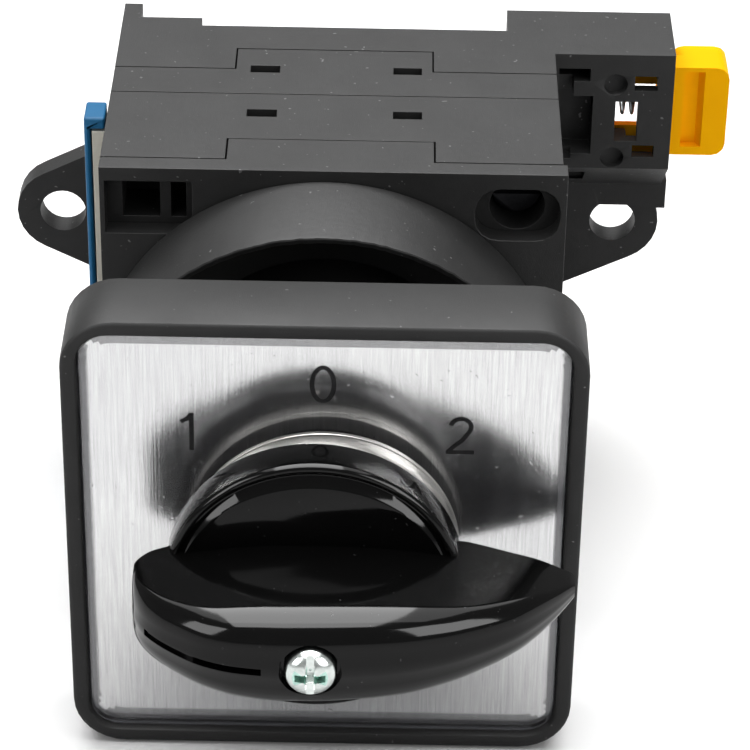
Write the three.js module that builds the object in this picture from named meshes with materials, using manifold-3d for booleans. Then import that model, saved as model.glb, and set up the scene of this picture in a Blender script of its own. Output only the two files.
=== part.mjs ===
// Manual transfer switch: a cam switch with positions 1, 0 and 2, a square front plate,
// two contact wafers and a base that clips to a 35 mm rail or is screwed down by two ears.
// Millimetres, +Z up. The front faces -Y and the shaft lies along Y. The origin is on the
// shaft axis, on the floor of the rail channel at the back.

import * as THREE from 'three';
import { mergeVertices } from 'three/addons/utils/BufferGeometryUtils.js';
import Module from 'manifold-3d';

const wasm = await Module();
wasm.setup();

// ---- Driving dimensions. Depths run back from the front face of the bezel. ----

const CHANNEL_FLOOR_DEPTH = 59.6;
const CLEARANCE = 0.3;
const PARTING_GAP = 0.15;

const FRONT = {
  size: 48.4, centre: 0.2, depth: 8.1, corner: 5, border: 1.5, recess: 2.0, floor: 1.6, wall: 2.0,
  ribHeight: 0.6, ribHalf: 0.6, legendFront: 1.3, legendThick: 0.4, coverFront: 0.35, coverThick: 0.65,
};
const NECK = { radius: 10, bore: 4.6, front: 3.9, rear: 24, flangeRadius: 12.6, flange: 1.8 };
const RING = {
  radius: 23, centre: -0.3, lip: 0.8, wall: 1.5, front: 17.7, rear: 28.5, floor: 1.6, shaftHole: 5,
  hubRadius: 15.2, hubFront: 20,
};
const BODY = { left: -22.6, right: 22.9, top: 24 };
const SHAFT = { side: 5.6, front: -14.5, rear: 53.0, bore: 1.9 };

const DETENT = { front: 28.8, wingRear: 31.0, rear: 35.1, tongue: 10.2, backWall: 1.5, lip: 23.3 };
const WHEEL = { radius: 9, notchCentre: 10.25, notchRadius: 2.2, notches: 8, front: 29.4, rear: 33.2 };
const ROLLER = { radius: 1.8, crestGap: 0.25, front: 29.3, rear: 33.3 };

const WAFER_SPLIT = 44.6;
const BASE_FRONT = { tongue: 54.45, wing: 50.0, tongueHalf: 10.1 };
const STAGES = [
  { number: 1, front: 35.1 },
  { number: 2, front: WAFER_SPLIT },
];
const CAM = { mean: 7.0, travel: 1.2, turn: Math.PI / 4, ramp: Math.PI / 3, thick: 6, offset: 1.3 };
const CAM_LIFT = CAM.travel / CAM.turn;
const CHAMBER = { radius: 9.2, half: 9.3, depth: 8.2, bridgeTop: 15.8, springTop: 22.2 };
const TOP_SLOT = { left: [-8.6, -5.6], right: [6.1, 9.0], offset: 4.65, width: 1.5 };
const CONTACT_MID = 4.4;
const PLUNGER = { foot: 7.35, shoulder: 8.8, top: 12.85, footHalf: 0.8, half: 2.5, thick: 5 };
const BRIDGE = { bottom: 13.0, top: 14.2, half: 8.4, width: 4.2, buttonX: 7.0, buttonDrop: 0.7 };
const STRIP = { inner: 5.4, bottom: 10.0, top: 11.0, width: 4.0 };
const TERMINAL = { face: 15.9, thick: 1.0, low: 8.6, high: 16.2, width: 5.8, screwZ: 13.4, bore: 1.6 };
const POCKET = { inner: 15.6, low: 8.2, high: 16.5, width: 6.8 };
const TIE_BOLT = { x: 18.5, z: 19.3, radius: 1.5, headRadius: 2.4, headDepth: 34, rear: 58.4 };

const KNOB = {
  skirtRadius: 13.8, skirtBack: -3.2, skirtFront: -7.1, rimGroove: 12.3, bossRadius: 9, bossBack: -0.4,
  play: 0.5, wellRadius: 2.8, wellFloor: -18.5,
};
const KNOB_SCREW = { headRadius: 2.4, seat: -18.6, top: -20.6, shank: 1.35, end: -8.5 };
const COLLAR = { radius: 12.8, inner: 11.2, front: -2.6, rear: 0.05 };

const BACK_DEPTH = 64.4;
const LEDGE_DEPTH = 61.3;
const POST = { inner: -20.7, ledgeEnd: -14.2 };
const RIGHT_WALL_INNER = 18.1;
const HOOK = { tip: -17.6, front: 62.5, low: 6, high: 16 };
const BLOCK = { right: 35.5, front: 54.5, frontLow: 10.5, slopeDepth: 61.5, rearLow: 4.7 };
const EAR = {
  centre: 0.3, half: 30.15, hole: 2.5, end: 5.0, front: 61.5, rootHalf: 9.6,
  shoulderRight: 36.1, shoulderLow: 1.7, flatTop: 2.0,
};
const LATCH = {
  low: 9.8, high: 20.3, front: 59.0, rear: 64.1, right: 41.8, narrowLow: 11.3, narrowHigh: 18.8,
  step: 61.9, stemLeft: 18.7, toothTip: 12.9, toothFront: 62.5,
  grooveLeft: 37.0, grooveRight: 39.2, grooveDepth: 1.0,
};

// ---- Solids ----

function solid(geometry) {
  const bare = geometry.clone();
  bare.deleteAttribute('normal');
  bare.deleteAttribute('uv');
  const merged = mergeVertices(bare, 1e-4);
  const points = merged.attributes.position.array;
  const faces = [];
  const index = merged.index.array;
  for (let i = 0; i < index.length; i += 3) {
    const [a, b, c] = [index[i], index[i + 1], index[i + 2]];
    if (a !== b && b !== c && c !== a) faces.push(a, b, c);
  }
  if (signedVolume(points, faces) < 0) faces.reverse();
  return new wasm.Manifold(new wasm.Mesh({
    numProp: 3,
    vertProperties: new Float32Array(points),
    triVerts: new Uint32Array(faces),
  }));
}

function signedVolume(points, faces) {
  let sum = 0;
  const corner = (i) => new THREE.Vector3(points[3 * i], points[3 * i + 1], points[3 * i + 2]);
  for (let i = 0; i < faces.length; i += 3) {
    sum += corner(faces[i]).dot(corner(faces[i + 1]).cross(corner(faces[i + 2])));
  }
  return sum / 6;
}

function geometryOf(body) {
  const mesh = body.getMesh();
  const geometry = new THREE.BufferGeometry();
  geometry.setAttribute('position', new THREE.BufferAttribute(mesh.vertProperties, 3));
  geometry.setIndex(new THREE.BufferAttribute(mesh.triVerts, 1));
  geometry.computeVertexNormals();
  return geometry;
}

function block(x0, x1, y0, y1, z0, z1) {
  const geometry = new THREE.BoxGeometry(x1 - x0, y1 - y0, z1 - z0);
  return solid(geometry.translate((x0 + x1) / 2, (y0 + y1) / 2, (z0 + z1) / 2));
}

// A round bar along an axis, from one end to the other, centred on two other coordinates.
function rodY(x, z, radius, y0, y1, sides = 20) {
  const geometry = new THREE.CylinderGeometry(radius, radius, y1 - y0, sides);
  return solid(geometry.translate(x, (y0 + y1) / 2, z));
}

function rodX(y, z, radius, x0, x1, sides = 16) {
  const geometry = new THREE.CylinderGeometry(radius, radius, x1 - x0, sides).rotateZ(Math.PI / 2);
  return solid(geometry.translate((x0 + x1) / 2, y, z));
}

function rodZ(x, y, radius, z0, z1, sides = 16) {
  const geometry = new THREE.CylinderGeometry(radius, radius, z1 - z0, sides).rotateX(Math.PI / 2);
  return solid(geometry.translate(x, y, (z0 + z1) / 2));
}

function outline(points) {
  return new THREE.Shape(points.map(([u, v]) => new THREE.Vector2(u, v)));
}

function extruded(points, length, basis) {
  const options = { depth: length, bevelEnabled: false, steps: 1 };
  const geometry = new THREE.ExtrudeGeometry(outline(points), options);
  return geometry.applyMatrix4(new THREE.Matrix4().makeBasis(...basis));
}

const AXIS_X = new THREE.Vector3(1, 0, 0);
const AXIS_Y = new THREE.Vector3(0, 1, 0);
const AXIS_Z = new THREE.Vector3(0, 0, 1);

// Outlines in the plane across an axis, pushed along that axis.
function prismX(points, x0, x1) {
  return solid(extruded(points, x1 - x0, [AXIS_Y, AXIS_Z, AXIS_X]).translate(x0, 0, 0));
}

function prismY(points, y0, y1) {
  const basis = [AXIS_X, AXIS_Z, AXIS_Y.clone().negate()];
  return solid(extruded(points, y1 - y0, basis).translate(0, y1, 0));
}

function prismZ(points, z0, z1) {
  return solid(extruded(points, z1 - z0, [AXIS_X, AXIS_Y, AXIS_Z]).translate(0, 0, z0));
}

function roundedRectangle(halfWidth, halfHeight, radius, steps = 6) {
  const points = [];
  for (let quarter = 0; quarter < 4; quarter++) {
    const signU = quarter === 0 || quarter === 3 ? 1 : -1;
    const signV = quarter < 2 ? 1 : -1;
    for (let i = 0; i <= steps; i++) {
      const angle = (quarter + i / steps) * Math.PI / 2;
      points.push([
        signU * (halfWidth - radius) + radius * Math.cos(angle),
        signV * (halfHeight - radius) + radius * Math.sin(angle),
      ]);
    }
  }
  return points;
}

// A body of revolution about the shaft axis, from [radius, depth] pairs.
function turned(profile, sides) {
  const points = profile.map(([radius, depth]) => new THREE.Vector2(radius, depth));
  return solid(new THREE.LatheGeometry(points, sides));
}

function tube(outer, inner, y0, y1, sides) {
  return turned([[inner, y0], [outer, y0], [outer, y1], [inner, y1], [inner, y0]], sides);
}

class Helix extends THREE.Curve {
  constructor(radius, pitch, turns) {
    super();
    this.radius = radius;
    this.pitch = pitch;
    this.turns = turns;
  }

  getPoint(t, target = new THREE.Vector3()) {
    const angle = 2 * Math.PI * this.turns * t;
    return target.set(
      this.radius * Math.cos(angle),
      this.radius * Math.sin(angle),
      this.pitch * this.turns * t,
    );
  }
}

// A coil spring standing on the XY plane.
function coil(radius, wire, length, turns) {
  const section = [];
  for (let i = 0; i < 4; i++) {
    const angle = (i + 0.5) * Math.PI / 2;
    section.push([wire * Math.cos(angle), wire * Math.sin(angle)]);
  }
  const rise = length - 2 * wire;
  const path = new Helix(radius - wire, rise / turns, turns);
  const options = { steps: turns * 8, extrudePath: path, bevelEnabled: false };
  return solid(new THREE.ExtrudeGeometry(outline(section), options)).translate([0, 0, wire]);
}

function joined(bodies) {
  return bodies.reduce((whole, next) => whole.add(next));
}

function cut(body, tools) {
  return tools.reduce((rest, tool) => rest.subtract(tool), body);
}

// ---- Materials ----

function finish(color, roughness, metalness = 0, opacity = 1) {
  return new THREE.MeshStandardMaterial({ color, roughness, metalness, opacity, transparent: opacity < 1 });
}

const MATERIALS = {
  darkPlastic: finish(0x2c2c2d, 0.55),
  blackGloss: finish(0x0b0b0c, 0.15),
  brushedPlate: finish(0xc9cacc, 0.35, 1),
  clear: finish(0xf4f6f7, 0.08, 0, 0.3),
  satinRing: finish(0xb4b6b8, 0.3, 1),
  zinc: finish(0xc3c6c4, 0.3, 1),
  blackSteel: finish(0x1c1c1e, 0.4, 1),
  steel: finish(0x9a9c9e, 0.35, 1),
  brass: finish(0xb98f3f, 0.35, 1),
  copper: finish(0xb87446, 0.35, 1),
  creamPlastic: finish(0xe2ddcf, 0.6),
  paleNylon: finish(0xd8d2c2, 0.5),
  yellow: finish(0xf5b800, 0.4),
  blue: finish(0x2071b4, 0.4),
};

const assembly = new THREE.Group();
assembly.position.y = -CHANNEL_FLOOR_DEPTH;
const housing = new THREE.Group();
const rotor = new THREE.Group();
assembly.add(housing, rotor);

function place(parent, name, body, material) {
  const mesh = new THREE.Mesh(geometryOf(body), material);
  mesh.name = name;
  parent.add(mesh);
}

// ---- Front plate ----

function makeBezel() {
  const { size, centre, depth, corner, border, recess, floor, wall, ribHeight, ribHalf } = FRONT;
  const half = size / 2;
  const opening = half - border;
  const inner = half - wall;
  const floorBack = recess + floor;
  const back = prismY(roundedRectangle(inner, inner, corner - wall, 3), floorBack, depth + 1);
  const ribs = joined([
    block(-half, half, floorBack - 0.1, floorBack + ribHeight, -ribHalf, ribHalf),
    block(-ribHalf, ribHalf, floorBack - 0.1, floorBack + ribHeight, -half, half),
  ]);
  const shell = cut(prismY(roundedRectangle(half, half, corner), 0, depth), [
    prismY(roundedRectangle(opening, opening, 3, 4), -1, recess),
    back.subtract(ribs),
  ]);
  return cut(shell.translate([centre, 0, 0]), [
    rodY(0, 0, NECK.flangeRadius + CLEARANCE, floorBack, depth, 40),
    rodY(0, 0, 8, recess - 1, depth, 32),
  ]);
}

function makeFacePlate(front, thick, hole) {
  const half = FRONT.size / 2 - FRONT.border - 0.1;
  const sheet = prismY(roundedRectangle(half, half, 2.9, 4), front, front + thick);
  return sheet.subtract(rodY(0, 0, hole, front - 1, front + thick + 1, 40)).translate([FRONT.centre, 0, 0]);
}

function makeNeck() {
  const { radius, bore, front, rear, flangeRadius, flange } = NECK;
  return turned([
    [bore, front], [flangeRadius, front], [flangeRadius, front + flange], [radius, front + flange],
    [radius, rear], [bore, rear], [bore, front],
  ], 36);
}

function makeRing() {
  const { radius, centre, lip, wall, front, rear, floor, shaftHole, hubRadius, hubFront } = RING;
  const bore = NECK.radius + CLEARANCE + Math.abs(centre);
  const floorFront = rear - floor;
  return turned([
    [radius - lip, front], [radius, front], [radius, rear], [shaftHole, rear], [shaftHole, floorFront],
    [bore, floorFront], [bore, hubFront], [hubRadius, hubFront], [hubRadius, floorFront],
    [radius - wall, floorFront], [radius - lip, front],
  ], 64).translate([centre, 0, 0]);
}

place(housing, 'bezel_frame', makeBezel(), MATERIALS.darkPlastic);
place(
  housing, 'legend_plate',
  makeFacePlate(FRONT.legendFront, FRONT.legendThick, 8.6), MATERIALS.brushedPlate,
);
place(
  housing, 'clear_cover',
  makeFacePlate(FRONT.coverFront, FRONT.coverThick, 9.8), MATERIALS.clear,
);
place(
  housing, 'collar_ring',
  tube(COLLAR.radius, COLLAR.inner, COLLAR.front, COLLAR.rear, 48).translate([FRONT.centre, 0, 0]),
  MATERIALS.satinRing,
);
place(housing, 'bearing_neck', makeNeck(), MATERIALS.darkPlastic);
place(housing, 'panel_ring', makeRing(), MATERIALS.darkPlastic);

// ---- Knob and shaft ----

function squareBar(side, y0, y1) {
  return block(-side / 2, side / 2, y0, y1, -side / 2, side / 2);
}

// The knob sits a little to the left of the shaft axis, by the play of its square hole.
// The grip is the part that its side view and its plan have in common.
const GRIP_FRONT_EDGE = [
  [-17, -10.6], [-16.2, -13], [-13, -16.6], [-10, -18.5], [-7, -19.4], [-3, -19.8], [1, -19.7],
  [4, -19.35], [8, -18.7], [12, -17.35], [15, -15.8], [18, -13.75], [20, -11.8], [22, -9.3], [23.6, -6.9],
];
const GRIP_BACK_EDGE = [
  [23.6, -5], [18, -4.75], [13, -4.3], [13, -6.5], [-13.9, -6.5], [-13.9, -5.6], [-17, -7.4],
];
const GRIP_HALF_WIDTH = [
  [-17, 3.1], [-15.8, 3.5], [-13, 3.85], [-10, 4.3], [-7, 4.7], [-4, 4.95], [0, 5], [4, 4.9], [8, 4.6],
  [12, 4.05], [15, 3.45], [18, 2.8], [20, 2.35], [22, 1.55], [23.6, 0.7],
];
const GRIP_NOSE = [[-3, 6], [-16, 6], [-17.6, 4.6], [-19, 3.4], [-19.85, 1.5]];

function mirrored(points) {
  return [...points, ...points.map(([u, v]) => [u, -v]).reverse()];
}

function makeKnob() {
  const {
    skirtRadius, skirtBack, skirtFront, rimGroove, bossRadius, bossBack, play, wellRadius, wellFloor,
  } = KNOB;
  const skirt = turned([
    [0, bossBack], [bossRadius, bossBack], [bossRadius, skirtBack], [skirtRadius, skirtBack],
    [skirtRadius, skirtFront + 0.3], [skirtRadius - 0.4, skirtFront], [rimGroove, skirtFront + 0.35],
    [rimGroove - 0.8, skirtFront], [0, skirtFront],
  ], 48).translate([-play, 0, 0]);
  const side = prismZ([...GRIP_FRONT_EDGE, ...GRIP_BACK_EDGE], -6, 6);
  const plan = prismY(mirrored(GRIP_HALF_WIDTH), -22, -3);
  const nose = prismX(mirrored(GRIP_NOSE), -20, 26);
  return cut(skirt.add(side.intersect(plan).intersect(nose)), [
    squareBar(SHAFT.side + 2 * CLEARANCE, SHAFT.front - CLEARANCE, 1),
    rodY(-play, 0, SHAFT.bore, -19, -10),
    rodY(-play, 0, wellRadius, -22, wellFloor),
    block(-15.6, -4.4, -22, -12.6, -0.45, 0.45).intersect(grooveBand()),
  ]);
}

// The fine groove follows the tail's front edge, half a millimetre deep.
function grooveBand() {
  const depth = 0.6;
  const edge = GRIP_FRONT_EDGE.filter(([x]) => x > -16 && x < 0);
  const inner = edge.map(([x, y]) => [x + 0.2, y + depth]).reverse();
  const outer = edge.map(([x, y]) => [x - 0.2, y - 1]);
  return prismZ([...outer, ...inner], -1, 1);
}

function makeKnobScrew() {
  const { headRadius, seat, top, shank, end } = KNOB_SCREW;
  const head = turned([
    [0, seat], [headRadius, seat], [headRadius, top + 0.9], [headRadius - 0.65, top + 0.2], [0, top],
  ], 20);
  const recess = joined([
    block(-1.3, 1.3, top - 1, top + 0.9, -0.3, 0.3),
    block(-0.3, 0.3, top - 1, top + 0.9, -1.3, 1.3),
  ]);
  return head.add(rodY(0, 0, shank, seat - 0.4, end, 12)).subtract(recess).translate([-KNOB.play, 0, 0]);
}

function makeShaft() {
  const bar = squareBar(SHAFT.side, SHAFT.front, SHAFT.rear);
  return bar.subtract(rodY(0, 0, SHAFT.bore, SHAFT.front - 1, SHAFT.front + 8, 12));
}

function onShaft(disc, y0, y1) {
  return disc.subtract(squareBar(SHAFT.side + 2 * CLEARANCE, y0 - 1, y1 + 1));
}

// A disc whose rim dips into round notches, one every eighth of a turn.
function makeWheel() {
  const { radius, notchCentre, notchRadius, notches, front, rear } = WHEEL;
  const points = [];
  const steps = notches * 10;
  for (let i = 0; i < steps; i++) {
    const angle = 2 * Math.PI * i / steps;
    const spacing = 2 * Math.PI / notches;
    const away = angle - spacing * Math.round(angle / spacing);
    const sideways = notchCentre * Math.sin(away);
    const reach = Math.sqrt(Math.max(notchRadius ** 2 - sideways ** 2, 0));
    const notch = notchCentre * Math.cos(away) - reach;
    const r = Math.abs(sideways) < notchRadius ? Math.min(radius, notch) : radius;
    points.push([r * Math.sin(angle), r * Math.cos(angle)]);
  }
  return onShaft(prismY(points, front, rear), front, rear);
}

// The rim is a straight ramp past the top contact and another past the bottom one, so both
// contact carriers rise in step as the shaft turns clockwise.
function makeCam(stage) {
  const { mean, ramp, thick, offset } = CAM;
  const points = [];
  const steps = 48;
  for (let i = 0; i < steps; i++) {
    const angle = 2 * Math.PI * i / steps;
    const fromTop = angle > Math.PI ? angle - 2 * Math.PI : angle;
    const fromBottom = angle - Math.PI;
    const past = Math.abs(fromTop) <= Math.PI / 2 ? -fromTop : fromBottom;
    const r = mean + CAM_LIFT * Math.max(-ramp, Math.min(ramp, past));
    points.push([r * Math.sin(angle), r * Math.cos(angle)]);
  }
  const y0 = stage.front + offset;
  return onShaft(prismY(points, y0, y0 + thick), y0, y0 + thick);
}

place(rotor, 'knob', makeKnob(), MATERIALS.blackGloss);
place(rotor, 'knob_screw', makeKnobScrew(), MATERIALS.zinc);
place(rotor, 'shaft', makeShaft(), MATERIALS.steel);
place(rotor, 'detent_wheel', makeWheel(), MATERIALS.paleNylon);
for (const stage of STAGES) {
  place(rotor, `cam_${stage.number}`, makeCam(stage), MATERIALS.paleNylon);
}

// ---- Detent housing, rollers and springs ----

// Every detail of the upper half that repeats below is turned half a turn about the shaft.
const HALVES = [
  { name: 'top', turn: 0, sign: 1 },
  { name: 'bottom', turn: 180, sign: -1 },
];

const SIDES = [
  { name: 'left', sign: -1 },
  { name: 'right', sign: 1 },
];

function turnedHalf(body, half) {
  return body.rotate([0, half.turn, 0]);
}

function cornerPockets() {
  const y0 = DETENT.front - 1;
  const y1 = DETENT.wingRear + 1;
  const round = prismY(roundedRectangle(4.2, 2.9, 2.4, 4), y0, y1).translate([18.5, 0, 19.4]);
  const square = block(-22.1, -13.5, y0, y1, 16.6, 22.5);
  return HALVES.flatMap((half) => [turnedHalf(round, half), turnedHalf(square, half)]);
}

function makeDetentHousing() {
  const { front, wingRear, rear, tongue, backWall, lip } = DETENT;
  const wing = wingRear - PARTING_GAP / 2;
  const back = rear - PARTING_GAP / 2;
  const body = prismZ([
    [BODY.left, front], [lip, front], [lip, wing], [tongue, wing], [tongue, back], [-tongue, back],
    [-tongue, wing], [BODY.left, wing],
  ], -BODY.top, BODY.top);
  const cavityRear = rear - backWall;
  return cut(body, [
    rodY(0, 0, WHEEL.radius + 0.6, front - 1, cavityRear, 40),
    block(-3.6, 3.6, front - 1, cavityRear, -21.9, 21.9),
    rodY(0, 0, 5, front, rear + 1, 24),
    ...cornerPockets(),
  ]);
}

place(housing, 'detent_housing', makeDetentHousing(), MATERIALS.darkPlastic);

const rollerZ = WHEEL.radius + ROLLER.crestGap + ROLLER.radius;
const detentSpringStart = rollerZ + 4.9;
for (const half of HALVES) {
  const slider = new THREE.Group();
  assembly.add(slider);
  const roller = rodY(0, rollerZ, ROLLER.radius, ROLLER.front, ROLLER.rear, 16);
  const seat = rodY(0, rollerZ, ROLLER.radius + 0.25, ROLLER.front - 1, ROLLER.rear + 1, 16);
  const carrier = block(-3.2, 3.2, ROLLER.front, ROLLER.rear, rollerZ + 0.2, rollerZ + 4.5).subtract(seat);
  const middle = (ROLLER.front + ROLLER.rear) / 2;
  const spring = coil(1.8, 0.3, 21.6 - detentSpringStart, 4).translate([0, middle, detentSpringStart]);
  place(slider, `detent_roller_${half.name}`, turnedHalf(roller, half), MATERIALS.steel);
  place(slider, `detent_carrier_${half.name}`, turnedHalf(carrier, half), MATERIALS.paleNylon);
  place(housing, `detent_spring_${half.name}`, turnedHalf(spring, half), MATERIALS.steel);
}

// ---- Contact wafers ----

// Tools that hollow out one stage: the cam well, the contact chambers and the terminal pockets.
function chamberTools(stage) {
  const y0 = stage.front - 0.5;
  const y1 = stage.front + CHAMBER.depth;
  const middle = stage.front + CONTACT_MID;
  const tools = [
    rodY(0, 0, CHAMBER.radius, y0, y1, 40),
    rodY(0, 0, 5, y0, stage.front + 12, 24),
    block(-CHAMBER.half, CHAMBER.half, y0, y1, STRIP.bottom - 0.3, CHAMBER.bridgeTop),
    block(-2.9, 2.9, y0, y1, 5, CHAMBER.springTop),
  ];
  for (const side of [-1, 1]) {
    const [a, b] = side > 0 ? TOP_SLOT.right : TOP_SLOT.left;
    const slotFront = stage.front + TOP_SLOT.offset;
    tools.push(block(a, b, slotFront, slotFront + TOP_SLOT.width, CHAMBER.bridgeTop - 1, BODY.top + 1));
    const across = (x0, x1, halfWidth, z0, z1) => block(
      Math.min(side * x0, side * x1), Math.max(side * x0, side * x1),
      middle - halfWidth, middle + halfWidth, z0, z1,
    );
    const stripHalf = STRIP.width / 2 + CLEARANCE;
    const [x0, x1] = side > 0 ? [12.8, POCKET.inner + 0.5] : [-POCKET.inner - 0.5, -12.8];
    tools.push(
      across(8, POCKET.inner + 0.5, stripHalf, STRIP.bottom - CLEARANCE, STRIP.top + CLEARANCE),
      across(POCKET.inner, 26, POCKET.width / 2, POCKET.low, POCKET.high),
      rodX(middle, TERMINAL.screwZ, 1.7, x0, x1, 12),
    );
  }
  return HALVES.flatMap((half) => tools.map((tool) => turnedHalf(tool, half)));
}

function boltTools(clearance) {
  const { x, z, radius, rear } = TIE_BOLT;
  const hole = rodY(x, z, radius + clearance, DETENT.wingRear - 1, rear + CLEARANCE, 14);
  return HALVES.map((half) => turnedHalf(hole, half));
}

function frontWells() {
  const { x, z, headDepth } = TIE_BOLT;
  const start = DETENT.wingRear - 1;
  return HALVES.flatMap((half) => [
    turnedHalf(rodY(x, z, 2.75, start, headDepth + 2, 24), half),
    turnedHalf(block(-20.5, -16.8, start, 36.5, 17.3, 21.7), half),
    turnedHalf(block(-15.7, -14.2, start, 36.5, 17.3, 21.7), half),
  ]);
}

function makeWaferOne() {
  const wing = DETENT.wingRear + PARTING_GAP / 2;
  const front = DETENT.rear + PARTING_GAP / 2;
  const rear = WAFER_SPLIT - PARTING_GAP / 2;
  const t = DETENT.tongue + PARTING_GAP;
  const body = prismZ([
    [BODY.left, wing], [-t, wing], [-t, front], [t, front], [t, wing], [BODY.right, wing],
    [BODY.right, rear], [BODY.left, rear],
  ], -BODY.top, BODY.top);
  return cut(body, [...chamberTools(STAGES[0]), ...boltTools(CLEARANCE), ...frontWells()]);
}

function makeWaferTwo() {
  const front = WAFER_SPLIT + PARTING_GAP / 2;
  const wing = BASE_FRONT.wing - PARTING_GAP / 2;
  const rear = BASE_FRONT.tongue - PARTING_GAP / 2;
  const t = BASE_FRONT.tongueHalf;
  const body = prismZ([
    [BODY.left, front], [BODY.right, front], [BODY.right, wing], [t, wing], [t, rear], [-t, rear],
    [-t, wing], [BODY.left, wing],
  ], -BODY.top, BODY.top);
  return cut(body, [...chamberTools(STAGES[1]), ...boltTools(CLEARANCE)]);
}

place(housing, 'wafer_housing_1', makeWaferOne(), MATERIALS.darkPlastic);
place(housing, 'wafer_housing_2', makeWaferTwo(), MATERIALS.darkPlastic);

function makePlunger(middle) {
  const { foot, shoulder, top, footHalf, half, thick } = PLUNGER;
  return joined([
    block(-footHalf, footHalf, middle - thick / 2, middle + thick / 2, foot, shoulder + 0.1),
    block(-half, half, middle - thick / 2, middle + thick / 2, shoulder, top),
    rodZ(0, middle, 0.9, top - 0.1, 16.5, 10),
  ]);
}

function makeBridge(middle) {
  const { bottom, top, half, width, buttonX, buttonDrop } = BRIDGE;
  return joined([
    block(-half, half, middle - width / 2, middle + width / 2, bottom, top),
    rodZ(buttonX, middle, 1.3, bottom - buttonDrop, bottom + 0.1, 12),
    rodZ(-buttonX, middle, 1.3, bottom - buttonDrop, bottom + 0.1, 12),
  ]).subtract(rodZ(0, middle, 1.2, bottom - 1, top + 1, 10));
}

function makeFixedContact(middle) {
  const { face, thick, low, high, width, screwZ, bore } = TERMINAL;
  const { inner, bottom, top } = STRIP;
  return joined([
    block(inner, face + thick, middle - STRIP.width / 2, middle + STRIP.width / 2, bottom, top),
    block(face, face + thick, middle - width / 2, middle + width / 2, low, high),
  ]).subtract(rodX(middle, screwZ, bore, face - 1, face + thick + 1, 12));
}

function makeTerminalScrew(middle) {
  const { face, thick, screwZ } = TERMINAL;
  const seat = face + thick + CLEARANCE;
  return joined([
    rodX(middle, screwZ, 2.6, seat + 0.8, seat + 2.6, 16),
    block(seat, seat + 0.9, middle - 2.7, middle + 2.7, screwZ - 2.6, screwZ + 2.6),
    rodX(middle, screwZ, 1.3, 13.2, seat + 0.1, 10),
  ]).subtract(block(seat + 1.7, seat + 3, middle - 2.8, middle + 2.8, screwZ - 0.4, screwZ + 0.4));
}

// Half a turn about the vertical line through the middle of a stage.
function otherSide(body, middle) {
  return body.translate([0, -middle, 0]).rotate([0, 0, 180]).translate([0, middle, 0]);
}

for (const stage of STAGES) {
  const middle = stage.front + CONTACT_MID;
  for (const half of HALVES) {
    const label = `${stage.number}_${half.name}`;
    const carrier = new THREE.Group();
    assembly.add(carrier);
    place(carrier, `plunger_${label}`, turnedHalf(makePlunger(middle), half), MATERIALS.creamPlastic);
    place(carrier, `contact_bridge_${label}`, turnedHalf(makeBridge(middle), half), MATERIALS.copper);
    const spring = coil(2.2, 0.3, 22.0 - 14.4, 4).translate([0, middle, 14.4]);
    place(housing, `contact_spring_${label}`, turnedHalf(spring, half), MATERIALS.steel);
    for (const side of SIDES) {
      const opposite = side.sign !== half.sign;
      const put = (body) => turnedHalf(opposite ? otherSide(body, middle) : body, half);
      place(housing, `fixed_contact_${label}_${side.name}`, put(makeFixedContact(middle)), MATERIALS.brass);
      place(housing, `terminal_screw_${label}_${side.name}`, put(makeTerminalScrew(middle)), MATERIALS.zinc);
    }
  }
}

for (const half of HALVES) {
  const { x, z, radius, headRadius, headDepth, rear } = TIE_BOLT;
  const bolt = rodY(x, z, headRadius, headDepth, headDepth + 1.9, 18)
    .add(rodY(x, z, radius, headDepth + 1.8, rear, 12))
    .subtract(block(x - 3, x + 3, headDepth - 1, headDepth + 0.8, z - 0.4, z + 0.4));
  place(housing, `tie_bolt_${half.name}`, turnedHalf(bolt, half), MATERIALS.blackSteel);
}

// ---- Rail base ----

function earOutline(side) {
  const { centre, half, end, rootHalf } = EAR;
  const root = side > 0 ? BODY.right - 2 : BODY.left + 2;
  const cx = centre + side * half;
  const slope = Math.atan2(rootHalf - end, half - 20);
  const points = [[root, -rootHalf - 0.6], [root, rootHalf + 0.6]];
  const steps = 10;
  for (let i = 0; i <= steps; i++) {
    const angle = Math.PI / 2 - slope - (i / steps) * (Math.PI - 2 * slope);
    points.push([cx + side * end * Math.cos(angle), end * Math.sin(angle)]);
  }
  return side > 0 ? points.reverse() : points;
}

function earHole(side) {
  return rodY(EAR.centre + side * EAR.half, 0, EAR.hole, EAR.front - 1, BACK_DEPTH + 1, 28);
}

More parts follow.
